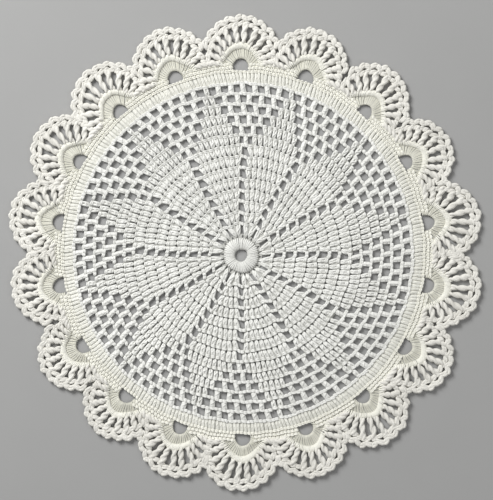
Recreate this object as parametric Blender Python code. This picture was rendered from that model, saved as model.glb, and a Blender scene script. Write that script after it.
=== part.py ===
"""Round crochet table mat, laid flat: one continuous worked piece.

A puffed ring starts it, twelve petals grow from the ring with an open net between their
tips, a plain border closes the net, and eighteen scallops follow: an arch over an eyelet,
and a fan of tall stitches with an edge of chain loops. The mat is one sheet of solid, with
its larger gaps cut through and its puffed and ribbed stitches raised on the upper face.
Angles run clockwise from the top of the mat (+Y), as seen from above.
"""

import math
import random
from collections import namedtuple

import bmesh
import bpy
from mathutils import Vector
from mathutils.geometry import delaunay_2d_cdt

MM = 0.001
TOUCH = 1e-7                # points nearer than this would be one, in metres

# Driving sizes, in metres and degrees
SHEET_THICK = 0.0022        # worked fabric, and the strands round each gap
PUFF_HEIGHT = 0.0030        # crest of the ring and of the arches
EDGE_THICK = 0.0016         # the chain loops of the outer edge
RIB_HEIGHT = 0.0026         # crest of a fan's tall stitches
SLOT_HEIGHT = 0.0011        # floor of the narrow slots between them, which stay uncut

PETALS = 12
SCALLOPS = 18
POST_SHARE = 0.85           # width of a stitch between two gaps, as a share of a petal's stitch

RING_HOLE = 0.0044          # radii of the starting ring
RING_CREST = 0.0085
RING_OUTER = 0.0133
RING_SIDES = 16

FIRST_ROUND = 0.0194        # radius at mid height of the first round of petals
PETAL_ROUND_HEIGHT = 0.0082  # rounds 1 to 9
NET_ROUND_HEIGHT = 0.0076   # rounds 10 to 14
LAST_TALL_ROUND = 9

ARCH_BASE = 0.1364          # radius of the line on which the arches stand
EYELET_HALF_WIDTH = 0.0056
EYELET_HEIGHT = 0.0088
EYELET_SIDES = 8
FAN_REACH = 0.0368          # from an arch's foot line to the fan's edge, at 45 degrees
FAN_CROWN = 0.0047          # and this much more straight outwards
LOOP_PITCH = 12.9           # degrees about the arch from one chain loop to the next
LOOPS_IN_VIEW = 7           # those not lost between two scallops
LOOP_CREST = 0.0008         # how far a loop stands out, and the notch between two goes in
LOOP_NOTCH = 0.0013
LOOP_SHOULDERS = (0.3, 0.7)  # where along its pitch a loop stands out
RIBS = 12                   # tall stitches of one fan
RIB_PITCH = 13.5            # degrees about the arch from one to the next
RIB_END = 0.0310            # where they end, from the arch's foot line
RIB_MARGIN = 0.0030         # how far they stop short of the next scallop
SLOT_INSET = 0.0004         # how much shorter a slot is at each end
VALLEY_RADIUS = 0.1612      # where two scallops meet at the edge

# The unevenness of handwork: the rounds drift up and to the right of the ring, the mat is
# slightly oval, and no two gaps are quite alike
DRIFT = (0.0145, 0.0175)    # metres for each metre of radius
OVAL = 0.0045
GAP_SHIFT = 0.00025
GAP_SPREAD = 0.05
GAP_SEED = 18

# One row for each round whose gaps are cut through. Petal: stitches across one petal.
# Gaps: gaps between two petals. Width and height of a gap in millimetres. Turn: how far
# the round has twisted, in degrees.
Round = namedtuple("Round", "number petal gaps width height turn")
ROUNDS = (
    Round(4, 5, 1, 4.2, 4.2, 0.2),
    Round(5, 6, 1, 4.5, 4.5, 0.3),
    Round(6, 7, 1, 4.9, 4.8, 0.7),
    Round(7, 8, 1, 4.9, 5.2, 1.1),
    Round(8, 9, 1, 5.1, 5.6, 1.6),
    Round(10, 7, 3, 5.3, 5.1, 2.4),
    Round(11, 5, 4, 5.4, 5.1, 2.7),
    Round(12, 3, 5, 5.5, 5.2, 2.8),
    Round(13, 2, 6, 5.4, 5.2, 2.4),
)

# One row for each scallop, clockwise from the top. Turn: how far its eyelet sits from its
# even place, in degrees. Lean: how far its crown leans over, in degrees about the arch.
# Reach: how much further out its crown goes, and dip: the same for the valley after it,
# both in millimetres.
Scallop = namedtuple("Scallop", "turn lean reach dip")
SCALLOP_ROWS = (
    Scallop(-0.8, 0, 0.5, 0.5),
    Scallop(-0.3, -5, -0.5, -2.5),
    Scallop(0.8, -8, 0.0, 0.5),
    Scallop(0.8, 3, -1.0, 2.0),
    Scallop(0.8, 2, 2.5, 2.0),
    Scallop(0.3, -5, 2.5, 2.5),
    Scallop(0.5, 3, 0.5, 1.5),
    Scallop(0.4, 8, 1.5, -2.5),
    Scallop(0.5, 3, -0.5, 0.5),
    Scallop(0.2, 10, 1.5, 0.5),
    Scallop(0.0, -7, 0.5, 0.5),
    Scallop(-0.7, -1, -3.0, -1.5),
    Scallop(-0.3, -9, -2.0, -1.5),
    Scallop(-0.3, 6, -1.0, 2.0),
    Scallop(-0.7, 7, 0.0, 0.0),
    Scallop(-0.9, 7, 1.5, 0.0),
    Scallop(-1.3, 0, 2.0, 0.0),
    Scallop(-1.5, 4, 0.5, -1.5),
)

# Relief of an arch: half width at its foot, height, and level of each of its three lines
ArchLine = namedtuple("ArchLine", "half_width height level sides")
ARCH_LINES = (
    ArchLine(0.0078, 0.0115, PUFF_HEIGHT, 8),       # crest of the padding round the eyelet
    ArchLine(0.0112, 0.0150, SHEET_THICK, 8),       # the groove behind it
    ArchLine(0.0152, 0.0182, PUFF_HEIGHT, 10),      # crest of the raised rim
)
RIM_HALF_WIDTH = 0.0168     # outer foot of the rim, where the fan starts
RIM_HEIGHT = 0.0200

COTTON = (0.87, 0.87, 0.83)


def turned(angle):
    """Unit vector at an angle clockwise from +Y."""
    return Vector((math.sin(angle), math.cos(angle)))


def on_mat(radius, angle):
    """A point of the worked rounds, with their drift and oval."""
    radius *= 1 - OVAL * math.sin(2 * angle)
    return radius * (turned(angle) + Vector(DRIFT))


def round_radius(number):
    tall = min(number, LAST_TALL_ROUND) - 1
    net = max(number - LAST_TALL_ROUND, 0)
    return FIRST_ROUND + tall * PETAL_ROUND_HEIGHT + net * NET_ROUND_HEIGHT


def gap_outline(radius, angle, width, height, uneven):
    """Four corners of a gap, each a little out of place."""
    width *= 1 + uneven.uniform(-GAP_SPREAD, GAP_SPREAD)
    height *= 1 + uneven.uniform(-GAP_SPREAD, GAP_SPREAD)
    corners = []
    for side, out in ((-1, -1), (-1, 1), (1, 1), (1, -1)):
        corner = on_mat(radius + out * height / 2, angle + side * width / 2 / radius)
        shift = Vector((uneven.uniform(-1, 1), uneven.uniform(-1, 1)))
        corners.append(corner + GAP_SHIFT * shift)
    return corners


def net_gaps():
    """The gaps of every cut round: those in line between petals, and those of the net."""
    uneven = random.Random(GAP_SEED)
    sector = math.tau / PETALS
    outlines = []
    for row in ROUNDS:
        radius = round_radius(row.number)
        width = row.width * MM
        gap_angle = width / radius
        stitches = row.petal + (row.gaps - 1) * POST_SHARE
        stitch_angle = (sector - row.gaps * gap_angle) / stitches
        pitch = gap_angle + POST_SHARE * stitch_angle
        for petal in range(PETALS):
            middle = petal * sector + math.radians(row.turn)
            for gap in range(row.gaps):
                angle = middle + (gap - (row.gaps - 1) / 2) * pitch
                outlines.append(gap_outline(radius, angle, width, row.height * MM, uneven))
    return outlines


def circle(radius, sides):
    return [on_mat(radius, math.tau * side / sides) for side in range(sides)]


class Arch:
    """Places points about the foot of one scallop's arch."""

    def __init__(self, number):
        self.row = SCALLOP_ROWS[number]
        even = math.tau * number / SCALLOPS
        angle = even + math.radians(self.row.turn)
        self.foot = on_mat(ARCH_BASE, angle)
        self.out = turned(angle)
        self.side = turned(angle + math.pi / 2)

    def at(self, sideways, outwards):
        return self.foot + sideways * self.side + outwards * self.out

    def ray(self, degrees, length):
        angle = math.radians(degrees)
        return self.at(length * math.sin(angle), length * math.cos(angle))

    def dome(self, half_width, height, sides):
        """Half an ellipse from foot to foot."""
        steps = [math.pi * step / sides for step in range(sides + 1)]
        return [self.at(-half_width * math.cos(t), height * math.sin(t)) for t in steps]

    def fan_edge(self, degrees):
        """Distance from the arch's foot to the fan's edge, without the chain loops."""
        lean = math.radians(2 * (degrees - self.row.lean))
        reach = self.row.reach * MM * math.cos(math.radians(degrees))
        return FAN_REACH + FAN_CROWN * math.cos(lean) + reach

    def edge_loops(self):
        """The fan's edge, with a notch and two shoulders for each chain loop."""
        points = []
        half = LOOPS_IN_VIEW / 2
        for loop in range(LOOPS_IN_VIEW):
            start = (loop - half) * LOOP_PITCH
            points.append(self.notch(start))
            for share in LOOP_SHOULDERS:
                degrees = start + share * LOOP_PITCH
                points.append(self.ray(degrees, self.fan_edge(degrees) + LOOP_CREST))
        points.append(self.notch(half * LOOP_PITCH))
        return points

    def notch(self, degrees):
        return self.ray(degrees, self.fan_edge(degrees) - LOOP_NOTCH)

    def rib_start(self, degrees):
        """Distance from the arch's foot to the outer foot of its rim."""
        angle = math.radians(degrees)
        across = math.sin(angle) / RIM_HALF_WIDTH
        along = math.cos(angle) / RIM_HEIGHT
        return 1 / math.hypot(across, along)

    def rib_end(self, degrees):
        """A rib ends under the chain loops, or where the next scallop's fan begins."""
        angle = math.radians(abs(degrees))
        slope = math.tan(math.pi / SCALLOPS)
        towards = math.sin(angle) - slope * math.cos(angle)
        if towards <= 0:
            return RIB_END
        return min(RIB_END, ARCH_BASE * slope / towards - RIB_MARGIN)

    def fan_lines(self):
        """The crest of each rib and the floor of each slot between two, as short lines."""
        lines = []
        for step in range(2 * RIBS - 1):
            degrees = (step - RIBS + 1) * RIB_PITCH / 2
            level = SLOT_HEIGHT if step % 2 else RIB_HEIGHT
            inset = SLOT_INSET if step % 2 else 0
            ends = (self.rib_start(degrees) + inset, self.rib_end(degrees) - inset)
            lines.append(([self.ray(degrees, end) for end in ends], level))
        return lines


def mat_outline(arches):
    """Scallop after scallop, with the valley that follows each."""
    points = []
    for number, arch in enumerate(arches):
        points += arch.edge_loops()
        valley = math.tau * (number + 0.5) / SCALLOPS
        points.append(on_mat(VALLEY_RADIUS + arch.row.dip * MM, valley))
    return points


def fill(loops, lines):
    """Triangles between the first loop and the others, with the lines as edges.

    Gives the points and the triangles. The loops' points come first, in their order.
    """
    points = [point for loop in loops for point in loop]
    edges = []
    faces = []
    for loop in loops:
        first = sum(len(face) for face in faces)
        faces.append(list(reversed(range(first, first + len(loop)))))
    for line in lines:
        first = len(points)
        points += line
        edges += [(first + step, first + step + 1) for step in range(len(line) - 1)]
    flat, _, triangles, origins, _, inside = delaunay_2d_cdt(points, edges, faces, 0, TOUCH)
    if len(flat) != len(points):
        raise ValueError("two lines of the mat cross or touch")
    number = [origin[0] for origin in origins]
    kept = [face for face, within in zip(triangles, inside) if within == [0]]
    return points, [[number[corner] for corner in face] for face in kept]


def build_sheet(name, loops, lines, levels):
    """One closed body: a flat underside, an upper face at the given levels, and walls."""
    mesh = bmesh.new()
    under_points, under_faces = fill(loops, [])
    upper_points, upper_faces = fill(loops, lines)
    under = [mesh.verts.new((point.x, point.y, 0)) for point in under_points]
    upper = [mesh.verts.new((p.x, p.y, level)) for p, level in zip(upper_points, levels)]
    for face in under_faces:
        mesh.faces.new([under[corner] for corner in reversed(face)])
    for face in upper_faces:
        mesh.faces.new([upper[corner] for corner in face])
    first = 0
    for loop in loops:
        for step in range(len(loop)):
            here = first + step
            after = first + (step + 1) % len(loop)
            mesh.faces.new((under[here], under[after], upper[after], upper[here]))
        first += len(loop)
    bmesh.ops.recalc_face_normals(mesh, faces=mesh.faces)
    data = bpy.data.meshes.new(name)
    mesh.to_mesh(data)
    mesh.free()
    piece = bpy.data.objects.new(name, data)
    bpy.context.scene.collection.objects.link(piece)
    return piece


def centre_on_origin(piece):
    """Puts the middle of the mat's outline on the origin."""
    corners = [Vector(corner) for corner in piece.bound_box]
    middle = (corners[0] + corners[6]) / 2
    for vertex in piece.data.vertices:
        vertex.co.x -= middle.x
        vertex.co.y -= middle.y


def cotton():
    material = bpy.data.materials.new("cotton")
    material.use_nodes = True
    shader = material.node_tree.nodes["Principled BSDF"]
    shader.inputs["Base Color"].default_value = (*COTTON, 1)
    shader.inputs["Roughness"].default_value = 0.9
    shader.inputs["Metallic"].default_value = 0
    return material


def build_mat():
    arches = [Arch(number) for number in range(SCALLOPS)]
    eyelets = [arch.dome(EYELET_HALF_WIDTH, EYELET_HEIGHT, EYELET_SIDES) for arch in arches]
    outline = mat_outline(arches)
    gaps = eyelets + net_gaps() + [circle(RING_HOLE, RING_SIDES)]
    levels = [EDGE_THICK] * len(outline) + [SHEET_THICK] * sum(len(gap) for gap in gaps)

    raised = []
    for radius, level in ((RING_CREST, PUFF_HEIGHT), (RING_OUTER, SHEET_THICK)):
        ring = circle(radius, RING_SIDES)
        raised.append((ring, level))
    for arch in arches:
        for line in ARCH_LINES:
            raised.append((arch.dome(line.half_width, line.height, line.sides), line.level))
        raised += arch.fan_lines()
    lines = [line for line, _ in raised]
    for line, level in raised:
        levels += [level] * len(line)

    mat = build_sheet("mat", [outline] + gaps, lines, levels)
    centre_on_origin(mat)
    mat.data.materials.append(cotton())
    return mat


for thing in list(bpy.data.objects):
    bpy.data.objects.remove(thing)
build_mat()
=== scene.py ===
import math

import bpy
import numpy as np
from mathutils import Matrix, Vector
from mathutils.geometry import delaunay_2d_cdt


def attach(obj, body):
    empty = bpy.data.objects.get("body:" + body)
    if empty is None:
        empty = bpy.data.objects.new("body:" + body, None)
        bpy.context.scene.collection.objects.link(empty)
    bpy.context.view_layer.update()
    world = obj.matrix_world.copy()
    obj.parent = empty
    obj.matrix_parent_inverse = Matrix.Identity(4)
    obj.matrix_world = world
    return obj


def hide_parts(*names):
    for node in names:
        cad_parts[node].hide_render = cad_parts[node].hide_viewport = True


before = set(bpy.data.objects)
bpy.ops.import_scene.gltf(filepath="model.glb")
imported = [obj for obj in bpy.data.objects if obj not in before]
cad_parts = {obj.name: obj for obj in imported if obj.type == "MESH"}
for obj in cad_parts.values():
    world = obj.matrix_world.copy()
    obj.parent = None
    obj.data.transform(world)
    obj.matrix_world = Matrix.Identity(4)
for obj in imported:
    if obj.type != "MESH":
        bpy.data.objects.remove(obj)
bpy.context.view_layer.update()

# Lengths are in millimetres until a mesh is made. Angles run clockwise from the top, in
# radians, and about an arch's foot they are its own. Every piece is one bunch of yarns, but
# for the ground cloth.
mm = 0.001
mapUnit = 10                    # millimetres of yarn for one unit of the yarn map
dice = np.random.default_rng(18)

mat = {
    "petals": 12,
    "ringCentre": (-3.252, -1.976),
    "drift": (0.0145, 0.0175),  # the rounds drift up and to the right as they grow
    "oval": 0.0045,
    "firstRound": 19.4,         # radius at the middle of the first round's gaps
    "petalRound": 8.2,          # from one round's gaps to the next, up to round 9
    "netRound": 7.6,            # and from there on
    "ringEdge": 13.7,           # radius where the first round stands
    "netEdge": 126.7,           # and where the last one ends
    "petalRounds": 8,           # those in which a single gap parts two petals
    "innerRounds": 7,           # those of the petals' inner piece
    "postShare": 0.85,          # width of a stitch between two gaps, in a petal's stitches
    "wobble": 0.22,             # hand unevenness in the plane, and in height
    "lift": 0.10,
    "shear": 0.70,              # how far the lines of gaps between petals are pulled askew
    "shearWidth": 3.2,          # on each side of a line
    "shearFrom": (13, 6),       # radius where that sets in, and over how much
    "shearUntil": (84, 10),     # radius where it has faded, and over how much
    "taper": 0.80,              # of a yarn's last ring, so that it ends round
}

# number, stitches across a petal, gaps between petals, width and height of a gap, turn
rounds = (
    (1, 2, 1, 2.7, 5.6, 1.7),
    (2, 3, 1, 3.8, 4.6, 0.9),
    (3, 4, 1, 4.3, 4.3, 0.5),
    (4, 5, 1, 4.2, 4.2, 0.2),
    (5, 6, 1, 4.5, 4.5, 0.3),
    (6, 7, 1, 4.9, 4.8, 0.7),
    (7, 8, 1, 4.9, 5.2, 1.1),
    (8, 9, 1, 5.1, 5.6, 1.6),
    (9, 9, 2, 3.4, 3.4, 1.8),
    (10, 7, 3, 5.3, 5.1, 2.4),
    (11, 5, 4, 5.4, 5.1, 2.7),
    (12, 3, 5, 5.5, 5.2, 2.8),
    (13, 2, 6, 5.4, 5.2, 2.4),
    (14, 1, 7, 5.1, 5.6, 2.1),
)

scallop = {
    "base": 136.4,              # radius of the line on which the arches stand
    "reach": 36.8,              # of a fan's edge from the arch's foot, and of its crown
    "crown": 4.7,               # beyond that
    "rim": (14.8, 20.6),        # half width and height of the arch where the fan starts
}

# turn of the eyelet and lean of the crown in degrees, reach of the crown in millimetres,
# clockwise from the top
scallopRows = (
    (-0.8, 0, 0.5), (-0.3, -5, -0.5), (0.8, -8, 0.0), (0.8, 3, -1.0), (0.8, 2, 2.5),
    (0.3, -5, 2.5), (0.5, 3, 0.5), (0.4, 8, 1.5), (0.5, 3, -0.5), (0.2, 10, 1.5),
    (0.0, -7, 0.5), (-0.7, -1, -3.0), (-0.3, -9, -2.0), (-0.3, 6, -1.0), (-0.7, 7, 0.0),
    (-0.9, 7, 1.5), (-1.3, 0, 2.0), (-1.5, 4, 0.5),
)

sector = math.tau / mat["petals"]       # one petal and the gaps beside it
scallops = len(scallopRows)
everyArch = np.arange(scallops)


def matPoint(radius, angle):
    radius, angle = np.broadcast_arrays(radius, angle)
    worked = radius * (1 - mat["oval"] * np.sin(2 * angle))
    x = mat["ringCentre"][0] + worked * (np.sin(angle) + mat["drift"][0])
    y = mat["ringCentre"][1] + worked * (np.cos(angle) + mat["drift"][1])
    return np.stack([x, y], -1)


def gapRadius(number):
    steps = min(number - 1, mat["petalRounds"])
    return (mat["firstRound"] + steps * mat["petalRound"]
            + (number - 1 - steps) * mat["netRound"])


def headRadius(number):         # where the chain heads of a round lie
    if number == 0:
        return mat["ringEdge"]
    if number == len(rounds):
        return mat["netEdge"]
    return (gapRadius(number) + gapRadius(number + 1)) / 2


lineRadii = [gapRadius(row[0]) for row in rounds]
lineTurns = [math.radians(row[5]) for row in rounds]

turns = np.array([math.radians(row[0]) + math.tau * n / scallops
                  for n, row in enumerate(scallopRows)])
leans = np.array([math.radians(row[1]) for row in scallopRows])
reaches = np.array([row[2] for row in scallopRows], float)
feet = matPoint(scallop["base"], turns)
outward = np.stack([np.sin(turns), np.cos(turns)], -1)
sideward = np.stack([np.cos(turns), -np.sin(turns)], -1)


def archPoint(number, across, out):
    across, out = np.broadcast_arrays(across, out)
    return (feet[number] + across[..., None] * sideward[number]
            + out[..., None] * outward[number])


def rayPoint(number, reach, spread):
    return archPoint(number, reach * np.sin(spread), reach * np.cos(spread))


def fanEdge(number, spread):
    return (scallop["reach"] + scallop["crown"] * np.cos(2 * (spread - leans[number]))
            + reaches[number] * np.cos(spread))


def rimReach(spread):
    width, height = scallop["rim"]
    return 1 / np.hypot(np.sin(spread) / width, np.cos(spread) / height)


def fanMeeting(spread):         # where two fans meet, or far out where they don't
    slope = math.tan(math.pi / scallops)
    towards = np.sin(np.abs(spread)) - slope * np.cos(spread)
    meeting = scallop["base"] * slope / np.maximum(towards, 1e-6)
    return np.where(towards > 0, meeting, 99.0)


def ramp(distance, span):
    return np.clip(distance / span, 0, 1)


def handmade(points):
    # the same slow waves for every piece, so that neighbours stay together
    x, y = points[..., 0], points[..., 1]
    moved = points.copy()
    dx, dy = x - mat["ringCentre"][0], y - mat["ringCentre"][1]
    far = np.hypot(dx, dy) + 1e-6
    # beside a line of gaps, one side is drawn out and the other in
    side = (np.arctan2(dx, dy) - np.interp(far, lineRadii, lineTurns)) / sector
    side = (side - np.round(side)) * sector * far / mat["shearWidth"]
    start, rise = mat["shearFrom"]
    end, fall = mat["shearUntil"]
    pull = mat["shear"] * ramp(end - far, fall) * ramp(far - start, rise)
    pull = -pull * side * np.exp(0.5 - side * side / 2)
    moved[..., 0] += pull * dx / far
    moved[..., 1] += pull * dy / far
    soft = mat["wobble"]
    moved[..., 0] += soft * (np.sin(x / 3.1 + y / 5.3) + np.sin(y / 2.3 - x / 9.1 + 1.0))
    moved[..., 1] += soft * (np.sin(y / 3.4 - x / 4.7 + 2.0) + np.sin(x / 2.6 + y / 8.3))
    moved[..., 2] += mat["lift"] * (np.sin(x / 11 + 0.5) * np.sin(y / 13) + 0.6)
    return moved


def curve(controls, count):
    # points on a smooth line through the control points
    controls = np.array(controls, float)
    spots = np.linspace(0, len(controls) - 1, count)
    step = np.minimum(spots.astype(int), len(controls) - 2)
    share = (spots - step)[:, None]
    ends = np.vstack([2 * controls[:1] - controls[1:2], controls,
                      2 * controls[-1:] - controls[-2:-1]])
    a, b, c, d = (ends[step + shift] for shift in range(4))
    cubic = 3 * (b - c) + d - a
    square = 2 * a - 5 * b + 4 * c - d
    return b + 0.5 * share * (c - a + share * (square + share * cubic))


class Bunch:
    # the yarns of one piece, as middle lines and radii, kept until they are joined

    def __init__(self, sides=6):
        self.sides = sides
        self.parts = []

    def add(self, xy, level, radius, shade):
        points = np.concatenate([xy, level[..., None]], -1)
        points = points.reshape(-1, points.shape[-2], 3)
        count, length = points.shape[:2]
        radius = np.broadcast_to(radius, (count, length))
        self.parts.append((points, radius, np.broadcast_to(shade, count)))

    def triangles(self):
        return sum(p.shape[0] * 2 * self.sides * (p.shape[1] - 2) for p, _, _ in self.parts)


def tube(points, radius, sides):
    # rings about every point but the two ends, which close to a tip
    radius = radius.copy()
    radius[:, [1, -2]] *= mat["taper"]
    heading = np.gradient(points, axis=1)
    heading /= np.linalg.norm(heading, axis=2, keepdims=True)
    normals = np.empty_like(points)
    normal = np.broadcast_to((0.0, 0.0, 1.0), points[:, 0].shape)
    for k in range(points.shape[1]):
        facing = heading[:, k]
        normal = normal - (normal * facing).sum(1, keepdims=True) * facing
        normal = normal / np.linalg.norm(normal, axis=1, keepdims=True)
        normals[:, k] = normal
    across = np.cross(heading, normals)
    turn = np.arange(sides) * math.tau / sides
    spokes = (normals[:, 1:-1, None] * np.cos(turn)[:, None]
              + across[:, 1:-1, None] * np.sin(turn)[:, None])
    rings = points[:, 1:-1, None] + spokes * radius[:, 1:-1, None, None]
    length = np.linalg.norm(np.diff(points, axis=1), axis=2).cumsum(1)
    length = np.concatenate([np.zeros((len(points), 1)), length], 1)
    return rings, length


def put(name, data):
    made = bpy.data.objects.new(name, data)
    bpy.context.scene.collection.objects.link(made)
    return made


def giveShade(mesh, values):
    shade = mesh.attributes.new("shade", "FLOAT", "POINT")
    shade.data.foreach_set("value", values.astype(np.float32))


def knit(name, bunch):
    # joins a bunch into one mesh, with its yarn map and a shade for each yarn
    spots, corners, totals, maps, shades = [], [], [], [], []
    first = 0
    sides = bunch.sides
    for points, radius, shade in bunch.parts:
        points = handmade(points)
        rings, length = tube(points, radius, sides)
        count, ringCount = rings.shape[:2]
        each = ringCount * sides + 2
        verts = np.empty((count, each, 3))
        verts[:, 0] = points[:, 0]
        verts[:, 1:-1] = rings.reshape(count, -1, 3)
        verts[:, -1] = points[:, -1]
        here = np.arange(sides)
        after = (here + 1) % sides
        start = (np.arange(ringCount - 1) * sides + 1)[:, None]
        quads = np.stack([start + here, start + after, start + sides + after,
                          start + sides + here], -1).reshape(-1, 4)
        along = np.repeat(np.arange(1, ringCount), sides)
        quadRing = np.stack([along, along, along + 1, along + 1], -1)
        u = np.stack([here, here + 1, here + 1, here], -1) / sides
        quadU = np.tile(u, (ringCount - 1, 1))
        lead = np.stack([np.zeros(sides, int), 1 + after, 1 + here], -1)
        last = 1 + (ringCount - 1) * sides
        tail = np.stack([last + here, last + after, np.full(sides, each - 1)], -1)
        tips = np.vstack([lead, tail])
        tipRing = np.vstack([np.tile([0, 1, 1], (sides, 1)),
                             np.tile([ringCount, ringCount, ringCount + 1], (sides, 1))])
        tipU = np.vstack([np.stack([here + 0.5, here + 1, here], -1),
                          np.stack([here, here + 1, here + 0.5], -1)]) / sides
        offsets = first + np.arange(count)[:, None, None] * each
        for face, ring, u in ((quads, quadRing, quadU), (tips, tipRing, tipU)):
            corners.append((offsets + face).ravel())
            totals.append(np.full(count * len(face), face.shape[1]))
            v = length[:, ring.ravel()]
            maps.append(np.stack([np.tile(u.ravel(), count), v.ravel() / mapUnit], -1))
        spots.append(verts.reshape(-1, 3))
        shades.append(np.repeat(shade, each))
        first += count * each
    spots = np.concatenate(spots) * mm
    corners = np.concatenate(corners)
    totals = np.concatenate(totals)
    mesh = bpy.data.meshes.new(name)
    mesh.vertices.add(len(spots))
    mesh.vertices.foreach_set("co", spots.astype(np.float32).ravel())
    mesh.loops.add(len(corners))
    mesh.loops.foreach_set("vertex_index", corners.astype(np.int32))
    mesh.polygons.add(len(totals))
    mesh.polygons.foreach_set("loop_start", (np.cumsum(totals) - totals).astype(np.int32))
    mesh.update(calc_edges=True)
    mesh.polygons.foreach_set("use_smooth", np.ones(len(totals), bool))
    layer = mesh.uv_layers.new(name="yarn")
    layer.uv.foreach_set("vector", np.concatenate(maps).astype(np.float32).ravel())
    giveShade(mesh, np.concatenate(shades))
    print(name, bunch.triangles(), "triangles")
    return put(name, mesh)


def uneven(count, spread):
    return dice.uniform(-spread, spread, count)


hand = {                        # how much one stitch differs from the next, each way
    "push": 0.24,               # of a tall stitch along its round
    "lift": 0.12,               # of a tall stitch, of one of its yarns, and of a link
    "yarnLift": 0.07,
    "linkLift": 0.10,
    "fat": 0.07,
}

tall = {                        # across in stitch widths, along in stitch heights, level
    "leftLeg": [(-0.05, -0.12, 0.80), (-0.06, 0.12, 0.95), (-0.19, 0.26, 1.35),
                (-0.215, 0.42, 1.48), (-0.22, 0.62, 1.50), (-0.21, 0.84, 1.45),
                (-0.17, 1.00, 1.35)],
    "rightLeg": [(0.06, -0.12, 0.78), (0.07, 0.13, 0.90), (0.20, 0.28, 1.20),
                 (0.22, 0.44, 1.32), (0.225, 0.64, 1.35), (0.215, 0.86, 1.32),
                 (0.18, 1.00, 1.30)],
    "wrap": [(-0.44, 0.20, 0.95), (-0.28, 0.32, 1.75), (0.00, 0.47, 2.12),
             (0.27, 0.61, 1.80), (0.44, 0.72, 0.95)],
    "legRadius": 0.93,
    "legTaper": (0.60, 0.60, 0.94, 1.0, 1.0, 1.0, 0.88),
    "wrapRadius": 0.63,
    "wrapPoints": 6,
    "lean": -1.15,              # the tops lean back to where the round came from
    "bowFrom": 0.3,             # share of its height below which a bow draws the other way
}

plainTall = {                   # packed close in the border, its two legs almost one
    "leftLeg": [(-0.12, -0.10, 1.00), (-0.15, 0.10, 1.25), (-0.16, 0.35, 1.45),
                (-0.16, 0.65, 1.50), (-0.15, 0.88, 1.40), (-0.10, 1.02, 1.20)],
    "rightLeg": [(0.13, -0.10, 1.00), (0.16, 0.10, 1.20), (0.17, 0.35, 1.38),
                 (0.16, 0.65, 1.42), (0.15, 0.88, 1.35), (0.12, 1.02, 1.20)],
    "wrap": [(-0.50, 0.22, 0.95), (-0.28, 0.34, 1.60), (0.02, 0.46, 2.00),
             (0.27, 0.58, 1.65), (0.50, 0.68, 0.95)],
    "legTaper": (0.82, 0.88, 0.88, 0.88, 0.85, 0.78, 0.68),
}

netPost = {                     # the same stitch between two gaps, hugging its chains
    "leftLeg": [(-0.36, -0.10, 1.00), (-0.35, 0.06, 1.2), (-0.29, 0.28, 1.30),
                (-0.29, 0.58, 1.35), (-0.33, 0.84, 1.40), (-0.35, 1.00, 1.30)],
    "rightLeg": [(0.37, -0.10, 1.00), (0.35, 0.06, 1.15), (0.30, 0.28, 1.20),
                 (0.30, 0.60, 1.30), (0.33, 0.86, 1.35), (0.36, 1.00, 1.25)],
    "wrap": [(-0.44, 0.24, 1.0), (-0.27, 0.34, 1.95), (0.01, 0.47, 2.4),
             (0.27, 0.60, 1.95), (0.44, 0.70, 1.0)],
    "core": [(0.0, -0.08, 1.55), (0.0, 0.30, 1.35), (0.0, 0.70, 1.40), (0.0, 1.02, 1.60)],
    "legTaper": (0.80, 0.88, 0.88, 0.88, 0.88, 0.88, 0.80),
    "coreTaper": (1.6, 1.6, 1.25, 1.25, 1.6, 1.6),
}

chain = {                       # one chain link: along its row in widths, across in mm
    "inner": [(-0.62, 0.10, 1.00), (-0.32, -0.36, 1.60), (0.06, -0.60, 1.90),
              (0.42, -0.48, 2.00), (0.66, -0.08, 1.50)],
    "outer": [(-0.62, -0.05, 0.95), (-0.34, 0.38, 1.65), (0.02, 0.58, 2.05),
              (0.40, 0.42, 2.20), (0.66, 0.00, 1.70)],
    "radius": 0.64,
    "tilt": 0.13,
    "core": [(-0.70, 0.0, 1.25), (0.0, 0.0, 1.50), (0.70, 0.0, 1.25)],
    "coreRadius": 0.98,         # the bump behind, which fills the link
    "corePoints": 5,
}

head = {                        # the same link over a petal's stitch, drawn in short
    "inner": [(-0.48, 0.05, 1.10), (-0.30, -0.55, 1.60), (-0.02, -0.90, 1.80),
              (0.26, -0.83, 1.80), (0.44, -0.50, 1.20)],
    "outer": [(-0.46, 0.25, 1.15), (-0.26, 0.42, 1.80), (0.04, 0.32, 2.10),
              (0.31, 0.00, 1.95), (0.47, -0.40, 1.15)],
    "radius": 0.76,
    "tilt": 0.22,
}

short = {
    "leftLeg": [(-0.08, -0.25, 0.80), (-0.20, 0.15, 1.2), (-0.26, 0.55, 1.5),
                (-0.12, 1.0, 1.3)],
    "rightLeg": [(0.10, -0.25, 0.80), (0.20, 0.15, 1.15), (0.26, 0.55, 1.45),
                 (0.14, 1.0, 1.3)],
    "legRadius": 0.64,
    "points": 5,
    "lift": 0.08,
}


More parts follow.
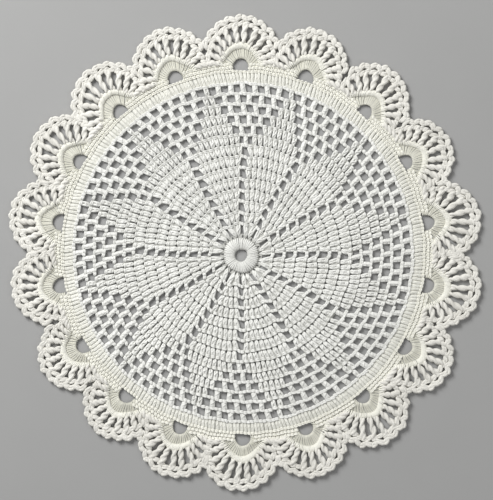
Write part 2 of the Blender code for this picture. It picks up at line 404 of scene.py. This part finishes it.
def layTall(bunch, inner, outer, angle, width, kind=tall, bow=0.0, fatness=1.0, sway=0.45):
    # tall stitches from the heads at inner to those at outer, width in mm at half height;
    # bow draws the top of a stitch sideways, over a gap
    count = len(angle)
    inner, outer, width, bow = (np.broadcast_to(v, count)[:, None]
                                for v in (inner, outer, width, bow))
    shade = dice.random(count)
    lean = (tall["lean"] + uneven(count, sway))[:, None]
    push = uneven(count, hand["push"])[:, None]
    fat = 1 + uneven(count, hand["fat"])[:, None]
    lift = uneven(count, hand["lift"])[:, None]
    legs = tall["legRadius"] * fatness * np.array(kind["legTaper"])
    yarns = {"leftLeg": legs, "rightLeg": legs,
             "wrap": np.full(tall["wrapPoints"], tall["wrapRadius"])}
    if "core" in kind:
        yarns["core"] = np.array(kind["coreTaper"])
    for name, radius in yarns.items():
        path = curve(kind[name], len(radius))
        share = path[:, 1]
        reach = inner + share * (outer - inner)
        across = path[:, 0] * width + push + lean * (share - 0.5)
        across = across + bow * (share - tall["bowFrom"])
        # a stitch spreads outwards half as much as its round does
        turn = angle[:, None] + across / (0.5 * reach + 0.25 * (inner + outer))
        level = path[:, 2] + lift + uneven(count, hand["yarnLift"])[:, None]
        bunch.add(matPoint(reach, turn), level, radius * fat, shade)


def layChain(bunch, place, centre, width, kind=chain, level=0.0, swell=1.0, fatness=1.0,
             points=6, tilt=None, turn=0.07, shift=0.18, overlap=1.0, core=True):
    # chain links: place turns (along, across) into x, y
    count = len(centre)
    shade = dice.random(count)
    fat = 1 + uneven(count, hand["fat"])
    shift = uneven(count, shift)[:, None]
    tilt = (kind["tilt"] if tilt is None else tilt) + uneven(count, turn)[:, None]
    for name in ("inner", "outer", "core") if core else ("inner", "outer"):
        path = curve(kind[name], kind["corePoints"] if name == "core" else points)
        step = path[:, 0] * np.broadcast_to(width, count)[:, None] * overlap
        along = centre[:, None] + step
        across = path[:, 1] * swell + shift + tilt * step
        height = path[:, 2] + level + uneven(count, hand["linkLift"])[:, None]
        radius = kind["coreRadius" if name == "core" else "radius"]
        bunch.add(place(along, across), height, radius * fatness * fat[:, None], shade)


def ringPlace(radius):
    # along is a length on the ring and across goes outwards
    return lambda along, across: matPoint(radius + across, -along / radius)


def chartRound(row):
    # angles of the petal stitches, net posts and gaps of one round
    number, petal, gaps, width, height, turn = row
    gapAngle = width / gapRadius(number)
    stitchAngle = (sector - gaps * gapAngle) / (petal + (gaps - 1) * mat["postShare"])
    pitch = gapAngle + mat["postShare"] * stitchAngle
    gapsAt, postsAt, petalsAt = [], [], []
    for n in range(mat["petals"]):
        middle = n * sector + math.radians(turn)
        for gap in range(gaps):
            gapsAt.append(middle + (gap - (gaps - 1) / 2) * pitch)
        for post in range(gaps - 1):
            postsAt.append(middle + (post - (gaps - 2) / 2) * pitch)
        edge = middle + (gaps - 1) / 2 * pitch + gapAngle / 2
        petalsAt += [edge + stitchAngle * (step + 0.5) for step in range(petal)]
    return {"number": number, "gapAngle": gapAngle, "stitchAngle": stitchAngle,
            "gaps": np.array(gapsAt), "posts": np.array(postsAt),
            "petals": np.array(petalsAt), "height": height}


chart = [chartRound(row) for row in rounds]


petalStitch = {
    "sway": 0.9,
    "fullWidth": 3.7,           # narrower stitches have thinner yarns, and wider ones
    "fattest": 1.05,            # thicker yarns up to this
    # up to round 8, and beside the net
    "over": (1.9, 0.9),         # how far the outermost stitches lean over the gaps
    "fatness": (1.04, 0.94),
}


def layPetals(bunch, row):
    number = row["number"]
    late = number > mat["petalRounds"]
    outer = headRadius(number)
    width = row["stitchAngle"] * gapRadius(number)
    bow = np.zeros(len(row["petals"])).reshape(mat["petals"], -1)
    bow[:, 0] -= petalStitch["over"][late]
    bow[:, -1] += petalStitch["over"][late]
    share = min(petalStitch["fattest"], width / petalStitch["fullWidth"])
    layTall(bunch, headRadius(number - 1), outer, row["petals"], width, bow=bow.ravel(),
            sway=petalStitch["sway"], fatness=petalStitch["fatness"][late] * share)
    # a head sits over its stitch's leaning top
    layChain(bunch, ringPlace(outer), -row["petals"] * outer - tall["lean"] / 2,
             row["stitchAngle"] * outer, kind=head, core=False)


net = {
    "postWidth": 0.90,          # in widths of a petal's stitch
    "post": {"fatness": 1.06, "sway": 0.8},
    "postLink": {"turn": 0.15, "overlap": 1.1},
    # two links over each gap
    "gapLink": {"level": -0.03, "fatness": 1.3, "turn": 0.28, "shift": 0.36,
                "overlap": 1.15},
}


def layNet(bunch, row):
    number = row["number"]
    outer = headRadius(number)
    if len(row["posts"]):
        width = net["postWidth"] * row["stitchAngle"] * gapRadius(number)
        layTall(bunch, headRadius(number - 1), outer, row["posts"], width, kind=netPost,
                **net["post"])
        layChain(bunch, ringPlace(outer), -row["posts"] * outer,
                 mat["postShare"] * row["stitchAngle"] * outer, **net["postLink"])
    link = row["gapAngle"] * outer / 2
    for side in (-0.5, 0.5):
        layChain(bunch, ringPlace(outer), -row["gaps"] * outer + side * link, link,
                 **net["gapLink"])


ring = {
    "stitches": 24,
    "line": [(5.3, 0.5), (4.75, 1.3), (5.7, 2.45), (8.0, 2.95), (10.5, 2.45),
             (12.2, 1.75), (13.3, 1.0)],  # distance from the centre and level
    "points": 10,
    "side": 0.25,               # of a stitch's two yarns from its middle, in stitch widths
    "spread": (0.86, 0.01),     # of that, at the centre and for each millimetre outwards
    "thick": 0.275,             # in stitch widths, and its limits in millimetres
    "thickLimits": (0.36, 0.84),
    # unevenness of the stitches' angles, of a yarn's distance and of its level
    "uneven": (0.012, 0.12, 0.08),
}


def startRing():
    bunch = Bunch()
    stitches = ring["stitches"]
    pitch = math.tau / stitches
    angle, distance, lift = ring["uneven"]
    centre = np.arange(stitches) * pitch + uneven(stitches, angle)
    shade = dice.random(stitches)
    for side in (-ring["side"], ring["side"]):
        path = curve(ring["line"], ring["points"])
        reach = path[:, 0] + uneven(stitches, distance)[:, None]
        spread = ring["spread"][0] + ring["spread"][1] * reach
        turn = centre[:, None] + side * pitch * spread
        level = path[:, 1] + uneven(stitches, lift)[:, None]
        radius = np.clip(ring["thick"] * pitch * reach, *ring["thickLimits"])
        bunch.add(matPoint(reach, turn), level, radius, shade)
    return knit("startRing", bunch)


def petals(name, rows):
    bunch = Bunch()
    for row in rows:
        layPetals(bunch, row)
    return knit(name, bunch)


def openNet():
    bunch = Bunch()
    for row in chart:
        layNet(bunch, row)
    return knit("openNet", bunch)


border = {
    "stitches": 312,
    "tallHead": 135.4,
    "tallMiddle": 131,          # radius at which a tall stitch has its width
    "tallFatness": 1.09,
    "shortHeads": (138.2, 140.9),
    "step": 0.3,                # each short round lies this much of a stitch further on
    "headFatness": 0.95,
    "eyelet": (-0.2, 9.6),      # where it starts and ends, outwards from the arch's foot
    "stitchClear": 6.3,         # how far from its middle a stitch and a head keep
    "headClear": 6.9,
}


def eyeletClear(xy, side):
    # true where a point is clear of every eyelet
    offset = xy[:, None, :] - feet
    across = np.abs((offset * sideward).sum(2))
    out = (offset * outward).sum(2)
    low, high = border["eyelet"]
    return ~((across < side) & (out > low) & (out < high)).any(1)


def borderTall():
    bunch = Bunch()
    count = border["stitches"]
    pitch = math.tau / count
    angle = (np.arange(count) + 0.5) * pitch
    layTall(bunch, headRadius(len(rounds)), border["tallHead"], angle,
            border["tallMiddle"] * pitch, kind=plainTall, fatness=border["tallFatness"])
    return knit("borderTall", bunch)


def borderShort():
    bunch = Bunch()
    pitch = math.tau / border["stitches"]
    below = border["tallHead"]
    angle = (np.arange(border["stitches"]) + 0.5) * pitch
    layChain(bunch, ringPlace(below), angle * below, below * pitch, core=False,
             fatness=border["headFatness"])
    for radius in border["shortHeads"]:
        angle = angle + border["step"] * pitch
        middle = matPoint((below + radius) / 2, angle)
        here = angle[eyeletClear(middle, border["stitchClear"])]
        shade = dice.random(len(here))
        width = radius * pitch
        for name in ("leftLeg", "rightLeg"):
            path = curve(short[name], short["points"])
            reach = below + path[:, 1] * (radius - below)
            turn = here[:, None] + path[:, 0] * width / reach
            level = path[:, 2] + uneven(len(here), short["lift"])[:, None]
            bunch.add(matPoint(reach, turn), level, short["legRadius"], shade)
        here = angle[eyeletClear(matPoint(radius, angle), border["headClear"])]
        layChain(bunch, ringPlace(radius), -here * radius, width, swell=0.9, overlap=1.05,
                 fatness=border["headFatness"], core=False)
        below = radius
    return knit("borderShort", bunch)


arch = {
    # lines: half width and height of the ellipse, level, and thickness in stitch widths
    "ribs": {
        "lines": [(7.0, 9.1, 0.8, 0.25), (6.45, 8.7, 1.5, 0.25), (7.2, 9.5, 2.05, 0.245),
                  (8.7, 11.4, 1.75, 0.225), (10.1, 13.3, 1.4, 0.20),
                  (11.3, 15.2, 1.2, 0.185), (12.2, 16.6, 1.2, 0.18),
                  (12.6, 17.4, 1.25, 0.18)],
        "stitches": 20,
        "feet": (2, 13),        # where the row starts and ends on the ellipses, in degrees
        "side": 0.19,           # of a stitch's two yarns from its middle, in stitch widths
        "slant": 0,
        "thickest": 0.62,
    },
    "rims": {
        "lines": [(11.6, 16.3, 1.1, 0.25), (12.0, 16.9, 1.6, 0.27),
                  (12.6, 18.0, 2.25, 0.28), (13.3, 19.4, 2.5, 0.28),
                  (13.8, 20.8, 2.2, 0.28), (14.2, 21.9, 1.3, 0.27)],
        "stitches": 21,
        "feet": (12, 12),
        "side": 0.25,
        "slant": 0.16,
        "thickest": 0.80,
    },
    "thinnest": 0.34,
    "swell": 0.4,               # the yarns grow towards the arch's feet
    "points": 9,
    "wander": 0.016,
    "lift": 0.09,
    "flare": ((6.1, 8.0, 13.9), (-0.16, 0.02, 0.68)),    # the feet's spread by half width
}


def archSpot(number, angle, wide, high):
    flare = 1 + np.interp(wide, *arch["flare"]) * (1 - np.sin(angle)) ** 2
    return archPoint(number, -wide * np.cos(angle) * flare, high * np.sin(angle))


def archRow(name, row):
    # two yarns to a stitch, standing radially on all the arches
    bunch = Bunch()
    stitches = row["stitches"]
    number = np.repeat(everyArch, stitches)
    place = np.tile((np.arange(stitches) + 0.5) / stitches, scallops)
    shade = dice.random(len(number))
    wide, high, level, fat = curve(row["lines"], arch["points"]).T
    share = np.linspace(0, 1, arch["points"])
    low = np.interp(share, (0, 1), np.radians(row["feet"]))
    pitch = (math.pi - 2 * low) * (wide + high) / 2 / stitches
    wander = uneven(len(number), arch["wander"])[:, None]
    for side in (-row["side"], row["side"]):
        turn = low + (math.pi - 2 * low) * (place + side / stitches)[:, None]
        turn = turn + wander + row["slant"] * (share - 0.5) * np.sin(turn) ** 3
        height = level + uneven(len(number), arch["lift"])[:, None]
        spread = 1 + arch["swell"] * (1 - np.sin(turn)) ** 2
        radius = np.clip(fat * pitch * spread, arch["thinnest"], row["thickest"])
        bunch.add(archSpot(number[:, None], turn, wide, high), height, radius, shade)
    return knit(name, bunch)


fan = {
    "posts": 12,
    "pitch": math.radians(13.5),
    "sink": 1.0,                # of the posts' feet under the rim
    "rise": 1.6,                # of their tops, past the line of heads
    "stepOut": 2.4,             # of the side posts' feet, past the arch's own spread feet
    "stepAt": (1, 0.3),         # angle from the crown where that sets in, and over how much
    "turns": 1.35,              # twist of a post's two strands
    "points": 15,
    "growing": (0, 0.8),        # share of a post's length in which it grows
    "spread": (1.00, 1.26),     # of the strands at the foot and at the top, in mm
    "thick": (1.24, 1.42),
    "level": (2.05, 0.60),      # of the strands' middle, and how far they swing about it
    "dip": 0.3,                 # of a strand's two ends
    "core": (1.50, 1.95),       # the yarn inside a post, at the foot and at the top
    "corePoints": 8,
    "coreLevel": 1.75,
    "coreSink": 0.05,           # of a thick core, below the plane on which the mat lies
    "droop": 0.10,              # how far the side posts bend down towards the border
    "bend": 0.6,                # unevenness of the posts' bend, and of their twist
    "wind": 0.15,
    "start": (0.4, 1.2),        # where the twist starts, and how evenly
    "band": 7.3,                # the heads' line lies this far inside the fan's edge
    # heads over the posts, with one chain between two
    "link": {"swell": 1.65, "fatness": 1.65, "tilt": 14, "turn": 8, "overlap": 1.25,
             "shift": 0.5, "level": 0.32},
}


def bandReach(number, spread):  # the line of the heads over a fan's posts
    crown = fanEdge(number, spread) - fan["band"]
    return np.minimum(crown, fanMeeting(spread))


def fanPosts():
    bunch = Bunch()
    posts = fan["posts"]
    number = np.repeat(everyArch, posts)
    spread = np.tile((np.arange(posts) - (posts - 1) / 2) * fan["pitch"], scallops)
    shade = dice.random(len(number))
    aside, over = fan["stepAt"]
    start = rimReach(spread) - fan["sink"]
    start = start + fan["stepOut"] * ramp(np.abs(spread) - aside, over)
    end = bandReach(number, spread) + fan["rise"]
    bend = uneven(len(number), fan["bend"])[:, None]
    begin = uneven(len(number), fan["start"][1])[:, None] + fan["start"][0]
    winding = fan["turns"] * (1 + uneven(len(number), fan["wind"]))[:, None]
    for strand, points in ((0, fan["points"]), (1, fan["points"]),
                           ("core", fan["corePoints"])):
        share = np.linspace(0, 1, points)
        reach = start[:, None] + share * (end - start)[:, None]
        across = bend * np.sin(math.pi * share)
        if strand == "core":
            thick = np.interp(share, fan["growing"], fan["core"])
            level = np.maximum(fan["coreLevel"], thick - fan["coreSink"])
            level = np.broadcast_to(level, across.shape)
        else:
            turn = begin + math.tau * (strand / 2 - winding * share)
            across = across + np.interp(share, fan["growing"], fan["spread"]) * np.cos(turn)
            thick = np.interp(share, fan["growing"], fan["thick"])
            level = fan["level"][0] + fan["level"][1] * np.sin(turn)
            level = level - fan["dip"] * (2 * share - 1) ** 8
        angle = spread[:, None] * (1 + fan["droop"] * share ** 2) + across / reach
        bunch.add(rayPoint(number[:, None], reach, angle), level, thick, shade)
    links = 2 * posts - 1
    number = np.repeat(everyArch, links)
    centre = np.tile((np.arange(links) - (links - 1) / 2) * fan["pitch"] / 2, scallops)

    def place(along, across):
        return rayPoint(number[:, None], bandReach(number[:, None], along) + across, along)

    layChain(bunch, place, centre, fan["pitch"] / 2, **fan["link"])
    return knit("fanPosts", bunch)


loop = {
    "pitch": math.radians(12.9),
    "count": 9,
    "links": 2,
    "foot": 4.8,                # of a loop's middle line, inside the fan's edge
    "rise": 2.7,
    "crest": 0.8,               # under 1, a loop is broader at its crest than a sine is
    "stretch": 1.04,            # neighbouring loops overlap a little
    "sides": 7,
    "link": {"swell": 1.9, "fatness": 1.95, "tilt": 1.5, "turn": 1.2, "overlap": 1.2,
             "shift": 0.3, "level": 0.34, "points": 9},
}


def edgeLoops():
    bunch = Bunch(sides=loop["sides"])
    count, links = loop["count"], loop["links"]
    number = np.repeat(everyArch, count * links)
    which = np.tile(np.repeat(np.arange(count) - (count - 1) / 2, links), scallops)
    step = np.tile(np.arange(links), scallops * count)
    centre = (step + 0.5) / links

    def place(along, across):
        # along runs from 0 to 1 over one loop, which rises to its crest and falls back
        spread = (which[:, None] + (along - 0.5) * loop["stretch"]) * loop["pitch"]
        rise = loop["rise"] * np.sin(math.pi * np.clip(along, 0, 1)) ** loop["crest"]
        reach = fanEdge(number[:, None], spread) - loop["foot"] + rise + across
        return rayPoint(number[:, None], reach, spread)

    layChain(bunch, place, centre, 1 / links, **loop["link"])
    return knit("edgeLoops", bunch)


ground = {
    "low": 1.30,
    "high": 1.42,
    "sink": 0.55,               # how much lower it lies under the arches and by the ring
    "sinkBeyond": (136, 4),     # radius where it sinks to the arches, and over how much
    "sinkWithin": (17, 1),
    "shade": 0.2,
    "arc": (12, 168, 13),       # its edge under an arch, from and to, in degrees; points
    "arcSize": (13.0, 17.6),
    "valley": 0.02,             # half width of its edge between two arches, in radians
    "eyelet": (6.8, 10.3, 0.9, 10),     # half width, height, drop, and points
    "middle": (5.0, 20),        # the middle hole's radius, and its points
    "margin": 0.75,             # its gaps open a little wider than the stitches do
    # holes, half width and height: a gap in a petal line, a gap in the net, and the dot
    # left between the feet of two tall stitches
    "lineGap": ((-0.8, -1.0), (-1.0, -0.7), (-0.85, 0.1), (-0.5, 0.75), (-0.2, 1.0),
                (0.2, 1.0), (0.5, 0.75), (0.85, 0.1), (1.0, -0.7), (0.8, -1.0)),
    "netGap": ((-0.75, -1.0), (-1.0, -0.75), (-1.0, 0.7), (-0.7, 1.0), (0.7, 1.0),
               (1.0, 0.7), (1.0, -0.75), (0.75, -1.0)),
    "dot": ((-0.9, -1.1), (-0.95, -0.4), (-0.45, 0.7), (0.0, 1.1), (0.45, 0.7),
            (0.95, -0.4), (0.9, -1.1)),
    "dotAt": (0.7, 1.9),        # above the feet, in the first round and in the others
    # slits between two stitches: how many, half width and height, to round 8 and after
    "slitShare": (0.35, 0.9),
    "slitWidth": ((0.2, 0.35), (0.35, 0.6)),
    "slitHeight": ((0.9, 2.0), (1.6, 2.8)),
    "slitAt": (-0.4, 1.0),
    "apart": 2.2,               # stitches further apart than 1.1 widths have a gap between
}


def groundHoles():
    holes = []
    margin = ground["margin"]
    slope = tall["lean"] / mat["petalRound"]
    for row in chart:
        number = row["number"]
        radius = gapRadius(number)

        def hole(angle, shape, wide=1.0, high=1.0, up=0.0):
            return [matPoint(radius + up + y * high,
                             angle + (x * wide + slope * (up + y * high)) / radius)
                    for x, y in shape]

        late = number > mat["petalRounds"]
        shape = ground["netGap" if late else "lineGap"]
        foot = headRadius(number - 1) + ground["dotAt"][number > 1] - radius
        for angle in row["gaps"]:
            holes.append(hole(angle, shape, row["gapAngle"] / 2 * radius + margin,
                              row["height"] / 2 + margin))
            if number == 1:     # a ring of dots lies round the start
                holes.append(hole(angle, ground["dot"], up=foot))
        half = row["stitchAngle"] / 2
        for left, right in zip(row["petals"], row["petals"][1:]):
            if right - left > ground["apart"] * half:
                continue
            holes.append(hole(left + half, ground["dot"], up=foot))
            if dice.random() < ground["slitShare"][late]:
                wide = dice.uniform(*ground["slitWidth"][late])
                high = dice.uniform(*ground["slitHeight"][late])
                holes.append(hole(left + half, ground["dot"], wide, high,
                                  dice.uniform(*ground["slitAt"])))
    return holes


def groundCloth():
    start, end, points = ground["arc"]
    arc = np.linspace(math.radians(start), math.radians(end), points)
    edge = []
    for n in range(scallops):
        edge += [archSpot(n, t, *ground["arcSize"]) for t in arc]
        angle = math.tau * (n + 0.5) / scallops
        edge += [matPoint(border["shortHeads"][-1], angle + shift * ground["valley"])
                 for shift in (-1, 0, 1)]
    loops = [edge] + groundHoles()
    wide, high, drop, points = ground["eyelet"]
    for n in range(scallops):
        loops.append([archPoint(n, -wide * np.cos(t), high * np.sin(t) - drop)
                      for t in np.linspace(0, math.pi, points)])
    radius, points = ground["middle"]
    loops.append([matPoint(radius, math.tau * step / points) for step in range(points)])
    flat, faces = [], []
    for line in loops:
        area = sum(a[0] * b[1] - b[0] * a[1] for a, b in zip(line, line[1:] + line[:1]))
        line = line if area > 0 else line[::-1]
        faces.append(list(range(len(flat), len(flat) + len(line))))
        flat += [Vector((float(p[0]), float(p[1]))) for p in line]
    spots, _, cells, _, _, inside = delaunay_2d_cdt(flat, [], faces, 0, 1e-6)
    kept = [cell for cell, within in zip(cells, inside) if within == [0]]
    xy = np.array([(p.x, p.y, 0) for p in spots])
    reach = np.hypot(*(xy[:, :2] - mat["ringCentre"]).T)
    outer, inner = ground["sinkBeyond"], ground["sinkWithin"]
    sink = ground["sink"] * np.maximum(ramp(reach - outer[0], outer[1]),
                                       ramp(inner[0] - reach, inner[1]))
    xy = handmade(xy)
    xy[:, 2] -= sink
    upper = xy * mm + (0, 0, ground["high"] * mm)
    lower = xy * mm + (0, 0, ground["low"] * mm)
    count = len(xy)
    used = {}
    for cell in kept:
        for a, b in zip(cell, list(cell[1:]) + [cell[0]]):
            used[(a, b)] = used.get((a, b), 0) + 1
    rim = [(a, b) for a, b in used if (b, a) not in used]
    sheets = [tuple(cell) for cell in kept]
    sheets += [tuple(count + corner for corner in reversed(cell)) for cell in kept]
    sheets += [(b, a, count + a, count + b) for a, b in rim]
    mesh = bpy.data.meshes.new("groundCloth")
    mesh.from_pydata(np.vstack([upper, lower]).tolist(), [], sheets)
    mesh.update()
    # the upper faces get a darker copy of the cotton, painted shade for the shadow between
    # the stitches; the underside and the edges get the plain lighter tone
    mesh.materials.append(cotton("cottonGroundPaintedShade", yarn=False))
    mesh.materials.append(cotton("cottonUnder", yarn=False))
    paintedShadeIndex = np.repeat((0, 1), (len(kept), len(sheets) - len(kept)))
    mesh.polygons.foreach_set("material_index", paintedShadeIndex)
    giveShade(mesh, np.full(2 * count, ground["shade"]))
    a, b, c = (np.array([xy[cell[k]] for cell in kept]) for k in range(3))
    cloth = np.abs(np.cross((b - a)[:, :2], (c - a)[:, :2])).sum() / 2 * mm * mm
    print("groundCloth", len(kept) * 2 + len(rim) * 2, "triangles, area", round(cloth, 5))
    return put("groundCloth", mesh), cloth


class Flow:
    # a socket that takes part in Python sums; numbers alone stay in Python

    def __init__(self, sheet, socket):
        self.sheet = sheet
        self.socket = socket

    def sum(self, operation, first, second):
        return self.sheet.node("ShaderNodeMath", {"operation": operation},
                               {0: first, 1: second}).out()

    def __add__(self, other):
        return self.sum("ADD", self, other)

    def __radd__(self, other):
        return self.sum("ADD", other, self)

    def __sub__(self, other):
        return self.sum("SUBTRACT", self, other)

    def __rsub__(self, other):
        return self.sum("SUBTRACT", other, self)

    def __mul__(self, other):
        return self.sum("MULTIPLY", self, other)

    def __rmul__(self, other):
        return self.sum("MULTIPLY", other, self)


class Node:
    def __init__(self, sheet, node):
        self.sheet = sheet
        self.made = node

    def out(self, name=0):
        return Flow(self.sheet, self.made.outputs[name])


class Sheet:
    # one material's nodes

    def __init__(self, name):
        self.material = bpy.data.materials.new(name)
        self.material.use_nodes = True
        self.tree = self.material.node_tree
        self.shader = self.tree.nodes["Principled BSDF"]

    def node(self, kind, settings=None, inputs=None):
        made = self.tree.nodes.new(kind)
        for key, value in (settings or {}).items():
            setattr(made, key, value)
        for key, value in (inputs or {}).items():
            self.feed(made.inputs[key], value)
        return Node(self, made)

    def feed(self, socket, value):
        if isinstance(value, Flow):
            self.tree.links.new(value.socket, socket)
        else:
            socket.default_value = value

    def finish(self, **values):
        for key, value in values.items():
            self.feed(self.shader.inputs[key.replace("_", " ")], value)
        return self.material

    def noise(self, where, scale, detail=2.0, roughness=0.5):
        return self.node("ShaderNodeTexNoise", {}, {
            "Vector": where, "Scale": scale, "Detail": detail,
            "Roughness": roughness}).out("Fac")

    def sine(self, angle):
        wave = self.node("ShaderNodeMath", {"operation": "SINE"}, {0: angle}).out()
        return 0.5 + 0.5 * wave

    def blend(self, factor, first, second):
        return self.node("ShaderNodeMix", {"data_type": "RGBA"},
                         {0: factor, 6: first, 7: second}).out(2)


cottonLooks = {                 # deep tone and light tone
    "cottonEdge": ((0.73, 0.725, 0.655, 1), (0.92, 0.915, 0.85, 1)),
    "cottonPetals": ((0.76, 0.76, 0.72, 1), (0.925, 0.925, 0.89, 1)),
    "cottonBorder": ((0.85, 0.84, 0.755, 1), (0.95, 0.94, 0.865, 1)),
    # the ribs inside each arch: a creamier yarn, made darker with painted shade for the
    # shadow under the rim
    "cottonRibsCreamAndShade": ((0.735, 0.725, 0.63, 1), (0.89, 0.88, 0.785, 1)),
    "cottonFans": ((0.705, 0.69, 0.635, 1), (0.88, 0.864, 0.808, 1)),
    # painted shade: the ground cloth's top, darker than any yarn, stands for the shadow in
    # the gaps between stitches
    "cottonGroundPaintedShade": ((0.50, 0.50, 0.47, 1), (0.62, 0.62, 0.58, 1)),
    "cottonUnder": ((0.70, 0.70, 0.66, 1), (0.84, 0.84, 0.80, 1)),
}

twist = {
    "plies": 3,
    "lay": 2.6,                 # millimetres of yarn for one turn of its plies
    "depth": 0.00016,
    "strength": 0.75,
}

fibres = {                      # scale and detail of the cotton's noises
    "broad": (38.0, 2.0),
    "mottle": (900.0, 2.0),
    "fuzz": (4200.0, 3.0, 0.6),
    "cells": 620.0,             # of the ground cloth, in place of plies
    "cellDepth": 1.4,
}

tint = {                        # what moves a yarn from its deep tone to its light one
    # ply lightens the crests of the plies and darkens the grooves between them: painted
    # shade
    "start": 0.25, "shade": 0.35, "broad": 1.1, "ply": 0.18, "mottle": 0.9, "fuzz": 0.35,
}
relief = {"ply": 0.75, "fuzz": 0.5, "mottle": 0.4}
matt = {"Sheen_Weight": 0.04, "Sheen_Roughness": 0.6, "Specular_IOR_Level": 0.2}
roughness = (0.84, 0.12)        # at its least, and what the fuzz adds


def cotton(name, yarn=True):
    sheet = Sheet(name)
    deep, light = cottonLooks[name]
    where = sheet.node("ShaderNodeTexCoord").out("Object")
    broad, mottle, fuzz = (sheet.noise(where, *fibres[kind])
                           for kind in ("broad", "mottle", "fuzz"))
    shade = sheet.node("ShaderNodeAttribute", {"attribute_name": "shade"}).out("Fac")
    if yarn:
        split = sheet.node("ShaderNodeSeparateXYZ", {}, {
            0: sheet.node("ShaderNodeUVMap", {"uv_map": "yarn"}).out()})
        slant = mapUnit / twist["lay"] * twist["plies"]
        phase = split.out("X") * twist["plies"] + split.out("Y") * slant
        ply = sheet.sine(phase * math.tau)
    else:
        cells = sheet.node("ShaderNodeTexVoronoi", {}, {
            "Vector": where, "Scale": fibres["cells"]})
        ply = 1 - cells.out("Distance") * fibres["cellDepth"]
    # the ply term is painted shade, darker in the grooves between plies and, on the ground
    # cloth, along the edges of its cells; the noises and the per-yarn shade are tone that
    # differs at random
    tone = (tint["start"] + tint["shade"] * shade + tint["broad"] * (broad - 0.5)
            + tint["ply"] * ply + tint["mottle"] * (mottle - 0.5)
            + tint["fuzz"] * (fuzz - 0.5))
    rough = roughness[0] + roughness[1] * fuzz
    height = relief["ply"] * ply + relief["fuzz"] * fuzz + relief["mottle"] * mottle
    bump = sheet.node("ShaderNodeBump", {}, {
        "Strength": twist["strength"], "Distance": twist["depth"],
        "Height": height}).out("Normal")
    return sheet.finish(Base_Color=sheet.blend(tone, deep, light), Roughness=rough,
                        Normal=bump, **matt)


pieces = {
    "startRing": startRing(),
    "petalsInner": petals("petalsInner", chart[:mat["innerRounds"]]),
    "petalsOuter": petals("petalsOuter", chart[mat["innerRounds"]:]),
    "openNet": openNet(),
    "borderTall": borderTall(),
    "borderShort": borderShort(),
    "archRibs": archRow("archRibs", arch["ribs"]),
    "archRims": archRow("archRims", arch["rims"]),
    "fanPosts": fanPosts(),
    "edgeLoops": edgeLoops(),
}

finishes = {
    "startRing": cotton("cottonPetals"),
    "borderTall": cotton("cottonEdge"),
    "borderShort": cotton("cottonBorder"),
    # creamier and darker than the rims: partly the yarn's own tint, partly painted shade
    # under the rim
    "archRibs": cotton("cottonRibsCreamAndShade"),
    "fanPosts": cotton("cottonFans"),
}
for name, like in (("petalsInner", "startRing"), ("petalsOuter", "startRing"),
                   ("openNet", "startRing"), ("archRims", "borderShort"),
                   ("edgeLoops", "fanPosts")):
    finishes[name] = finishes[like]
for name, piece in pieces.items():
    piece.data.materials.append(finishes[name])

cloth, clothArea = groundCloth()

for piece in [*pieces.values(), cloth]:
    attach(piece, "root")
    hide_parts("mat")
print("dressed", len(pieces) + 1, "pieces")


studio = {
    "aim": (0.00095, 0.00215),
    "lens": 100,
    "field": 0.375,             # width and height of the picture on the floor
    # place, size and power
    "key": ((-0.80, 0.92, 1.02), 0.80, 26.2),
    "fill": ((0.9, -0.5, 1.2), 1.4, 4.5),
    "sky": 0.25,
    "floorHalf": 6,
    "floorLevel": -0.0001,      # the lowest yarns sag a little
    "floorTones": ((0.375, 0.375, 0.37, 1), (0.39, 0.39, 0.385, 1)),
    "floorGrain": 30.0,
}


def floor():
    half = studio["floorHalf"]
    mesh = bpy.data.meshes.new("floor")
    corners = [(-half, -half, 0), (half, -half, 0), (half, half, 0), (-half, half, 0)]
    mesh.from_pydata(corners, [], [(0, 1, 2, 3)])
    piece = put("floor", mesh)
    sheet = Sheet("floorPaint")
    where = sheet.node("ShaderNodeTexCoord").out("Object")
    grain = sheet.noise(where, studio["floorGrain"])
    mesh.materials.append(sheet.finish(
        Base_Color=sheet.blend(grain, *studio["floorTones"]),
        Roughness=0.9, Specular_IOR_Level=0.1))
    piece.location.z = studio["floorLevel"]


def lamp(name, where, size, power):
    data = bpy.data.lights.new(name, "AREA")
    data.shape = "DISK"
    data.size = size
    data.energy = power
    light = put(name, data)
    light.location = where
    light.rotation_euler = (-Vector(where)).to_track_quat("-Z", "Y").to_euler()


def camera():
    data = bpy.data.cameras.new("camera")
    data.lens = studio["lens"]
    view = put("camera", data)
    distance = data.lens / data.sensor_width * studio["field"]
    view.location = (*studio["aim"], distance)
    bpy.context.scene.camera = view


floor()
lamp("keyLight", *studio["key"])
lamp("fillLight", *studio["fill"])
camera()
world = bpy.data.worlds.new("studio")
world.use_nodes = True
background = world.node_tree.nodes["Background"]
background.inputs["Color"].default_value = (1, 1, 1, 1)
background.inputs["Strength"].default_value = studio["sky"]
bpy.context.scene.world = world
bpy.context.scene.view_settings.view_transform = "Standard"
print("studio ready")
